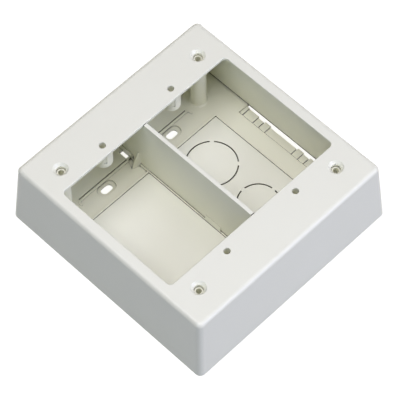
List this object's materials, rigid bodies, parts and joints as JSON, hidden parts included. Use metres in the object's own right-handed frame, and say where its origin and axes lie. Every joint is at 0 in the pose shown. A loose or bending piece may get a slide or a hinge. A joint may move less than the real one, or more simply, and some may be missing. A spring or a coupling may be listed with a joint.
{
  "type": "surface mount box",
  "caption": "Deep leaning-sided surface mount outlet box with a wide front opening, a flat base with breakout tabs and knockouts, and an upright divider between its compartments.",
  "frame": {"origin": "on the wall plane, at the middle of the box's back", "axes": "+Z out of the wall through the front opening, +Y up the wall along the device screw direction, +X from gang to gang with the knockout compartment on the +X side"},
  "size_m": [0.128, 0.129, 0.0407],
  "materials": {
    "cover_plastic": "fine satin, warm white",
    "base_plastic": "satin, warm white",
    "divider_plastic": "satin, warm white"
  },
  "bodies": {
    "root": {"cover": "cover_plastic", "base": "base_plastic", "divider": "divider_plastic"}
  },
  "joints": []
}
